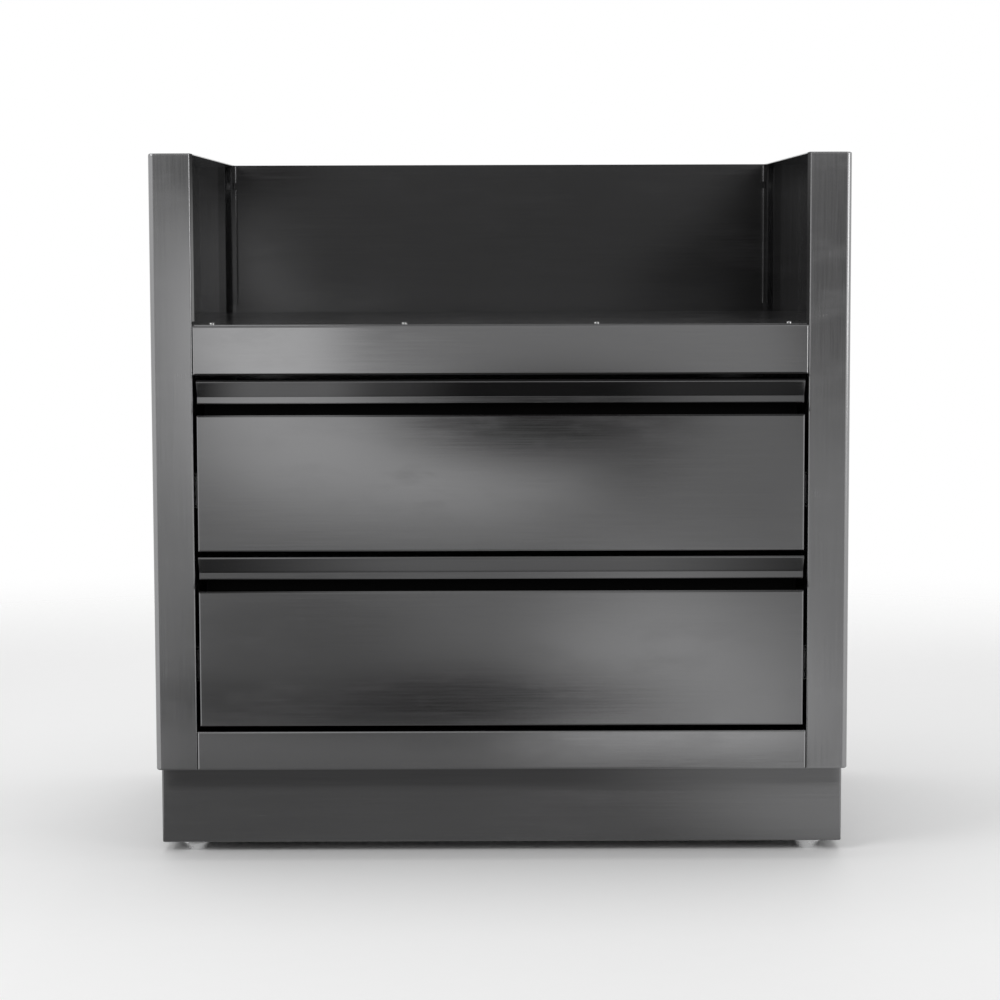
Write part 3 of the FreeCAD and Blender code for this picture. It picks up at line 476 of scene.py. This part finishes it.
# Studio
def make_floor():
    """A pale floor that takes the shadow, fades into the white further out and is clear from below."""
    bpy.ops.mesh.primitive_plane_add(size=2 * FLOOR_END, location=(0, 0, 0))
    floor = bpy.context.object
    floor.name = "studio_floor"
    material, tree, shader, place = new_material("studio_floor")
    speckle = noise_node(tree, place, FLOOR_SPECKLE_SCALE, FLOOR_SPECKLE_DETAIL)
    base = shade_node(tree, speckle, scaled(FLOOR_COLOUR, FLOOR_SPECKLE), FLOOR_COLOUR)
    tree.links.new(base, shader.inputs["Base Color"])
    shader.inputs["Roughness"].default_value = FLOOR_ROUGHNESS
    shader.inputs["Specular IOR Level"].default_value = FLOOR_SHINE
    reach = tree.nodes.new("ShaderNodeVectorMath")
    reach.operation = "LENGTH"
    tree.links.new(place, reach.inputs[0])
    away = range_node(tree, reach.outputs["Value"], (FLOOR_CLEAR, FLOOR_END))
    below = tree.nodes.new("ShaderNodeNewGeometry").outputs["Backfacing"]
    away = math_node(tree, "MAXIMUM", away, below)
    fade = tree.nodes.new("ShaderNodeMixShader")
    tree.links.new(away, fade.inputs[0])
    tree.links.new(shader.outputs[0], fade.inputs[1])
    tree.links.new(tree.nodes.new("ShaderNodeBsdfTransparent").outputs[0], fade.inputs[2])
    tree.links.new(fade.outputs[0], tree.nodes["Material Output"].inputs["Surface"])
    floor.data.materials.append(material)


def set_level(tree, socket, level):
    """A level given to a socket, as a plain number or from another socket."""
    if isinstance(level, float):
        socket.default_value = level
    else:
        tree.links.new(level, socket)


def card_material(name, level, patches, spot):
    """A glow of one level with soft patches. The spot function gives a patch's 3-D place or reach."""
    material, tree, shader, place = new_material(name)
    tree.nodes.remove(shader)
    for middle, reach, patch_level, *lean in patches:
        seat = tree.nodes.new("ShaderNodeMapping")
        seat.vector_type = "TEXTURE"
        seat.inputs["Location"].default_value = spot(middle, 0.0)
        seat.inputs["Rotation"].default_value = (0, -math.radians(sum(lean)), 0)
        seat.inputs["Scale"].default_value = spot(reach, PATCH_DEPTH)
        tree.links.new(place, seat.inputs["Vector"])
        ball = tree.nodes.new("ShaderNodeTexGradient")
        ball.gradient_type = "SPHERICAL"
        tree.links.new(seat.outputs["Vector"], ball.inputs["Vector"])
        blend = tree.nodes.new("ShaderNodeMix")
        tree.links.new(range_node(tree, ball.outputs["Fac"], PATCH_EDGE), blend.inputs["Factor"])
        set_level(tree, blend.inputs["A"], level)
        blend.inputs["B"].default_value = patch_level
        level = blend.outputs["Result"]
    glow = tree.nodes.new("ShaderNodeEmission")
    set_level(tree, glow.inputs["Strength"], level)
    tree.links.new(glow.outputs[0], tree.nodes["Material Output"].inputs["Surface"])
    material.cycles.emission_sampling = "NONE"
    return material


def make_card(name, place, size, turn, material):
    """A flat studio card that only reflections see."""
    bpy.ops.mesh.primitive_plane_add(size=1, location=place, rotation=turn)
    card = bpy.context.object
    card.name = name
    card.scale = (size[0], size[1], 1)
    bpy.ops.object.transform_apply(location=True, rotation=True, scale=True)
    card.data.materials.append(material)
    card.visible_camera = False
    card.visible_diffuse = False
    card.visible_shadow = False
    card.visible_transmission = False


def standing_card(name, y, half, span, level, patches):
    """An upright card that faces along Y, between two heights."""
    material = card_material(name, level, patches, lambda spot, deep: (spot[0], deep, spot[1]))
    size = (2 * half, span[1] - span[0])
    make_card(name, (0, y, sum(span) / 2), size, (math.radians(90), 0, 0), material)


def lying_card(name, z, half, span, level, patches):
    """A level card between two places along Y."""
    material = card_material(name, level, patches, lambda spot, high: (spot[0], spot[1], high))
    size = (2 * half, span[1] - span[0])
    make_card(name, (0, sum(span) / 2, z), size, (0, 0, 0), material)


def make_cards():
    """The cards round the cabinet: in front, in the bay, on the floor, behind, above and by the pulls."""
    front_span = (0.0, FRONT_CARD_TOP)
    floor_span = (FRONT_CARD_Y, FLOOR_CARD_NEAR)
    ceiling_span = (FRONT_CARD_Y, CEILING_CARD_FAR)
    standing_card("front_card", FRONT_CARD_Y, FRONT_CARD_HALF, front_span,
                  FRONT_CARD_LEVEL, FRONT_CARD_PATCHES)
    standing_card("bay_card", BAY_CARD_Y, BAY_CARD_HALF, BAY_CARD_SPAN,
                  BAY_CARD_LEVEL, BAY_CARD_PATCHES)
    lying_card("floor_card", FLOOR_CARD_HEIGHT, FLOOR_CARD_HALF, floor_span,
               FLOOR_CARD_LEVEL, FLOOR_CARD_PATCHES)
    standing_card("rear_card", CEILING_CARD_FAR, FRONT_CARD_HALF, REAR_CARD_SPAN,
                  REAR_CARD_LEVEL, [])
    standing_card("plinth_card", PLINTH_CARD_Y, PLINTH_CARD_HALF, PLINTH_CARD_SPAN,
                  PLINTH_CARD_LEVEL, PLINTH_CARD_PATCHES)
    lying_card("ceiling_card", FRONT_CARD_TOP, FRONT_CARD_HALF, ceiling_span,
               CEILING_CARD_LEVEL, [])
    lying_card("pull_top_card", PULL_TOP_CARD_Z, PULL_CARD_HALF, PULL_CARD_SPAN,
               PULL_TOP_CARD_LEVEL, [])
    lying_card("upper_pull_card", UPPER_PULL_CARD_Z, PULL_CARD_HALF, PULL_CARD_SPAN,
               UPPER_PULL_CARD_LEVEL, UPPER_PULL_CARD_PATCHES)
    lying_card("lower_pull_card", LOWER_PULL_CARD_Z, PULL_CARD_HALF, PULL_CARD_SPAN,
               LOWER_PULL_CARD_LEVEL, LOWER_PULL_CARD_PATCHES)


def make_world():
    """A white background for the camera and for reflections, and a soft even glow for everything else."""
    world = bpy.data.worlds.new("studio")
    bpy.context.scene.world = world
    world.use_nodes = True
    tree = world.node_tree
    glow = tree.nodes["Background"]
    glow.inputs["Color"].default_value = WHITE
    glow.inputs["Strength"].default_value = ROOM_GLOW
    white = tree.nodes.new("ShaderNodeBackground")
    white.inputs["Color"].default_value = WHITE
    white.inputs["Strength"].default_value = BACKGROUND
    rays = tree.nodes.new("ShaderNodeLightPath")
    seen = math_node(tree, "MAXIMUM", rays.outputs["Is Camera Ray"], rays.outputs["Is Glossy Ray"])
    seen = math_node(tree, "MAXIMUM", seen, rays.outputs["Is Transmission Ray"])
    pick = tree.nodes.new("ShaderNodeMixShader")
    tree.links.new(seen, pick.inputs[0])
    tree.links.new(glow.outputs[0], pick.inputs[1])
    tree.links.new(white.outputs[0], pick.inputs[2])
    tree.links.new(pick.outputs[0], tree.nodes["World Output"].inputs["Surface"])


def make_lights():
    """Rectangular soft lights that look at the cabinet's middle."""
    for name, (place, size, power) in SOFT_LIGHTS.items():
        data = bpy.data.lights.new(name, "AREA")
        data.shape = "RECTANGLE"
        data.size, data.size_y = size
        data.energy = power
        light = bpy.data.objects.new(name, data)
        light.location = place
        light.rotation_euler = (Vector(LIGHT_AIM) - Vector(place)).to_track_quat("-Z", "Y").to_euler()
        bpy.context.collection.objects.link(light)


def make_camera():
    """The camera, at the photograph's angle."""
    data = bpy.data.cameras.new("photo_camera")
    data.lens = CAMERA_LENS
    data.sensor_width = SENSOR
    camera = bpy.data.objects.new("photo_camera", data)
    camera.location = CAMERA_PLACE
    camera.rotation_euler = [math.radians(turn) for turn in CAMERA_TURN]
    bpy.context.collection.objects.link(camera)
    bpy.context.scene.camera = camera


bpy.ops.object.select_all(action="DESELECT")
finish_cad_nodes()
make_floor()
make_cards()
make_world()
make_lights()
make_camera()
bpy.context.scene.view_settings.view_transform = "Standard"
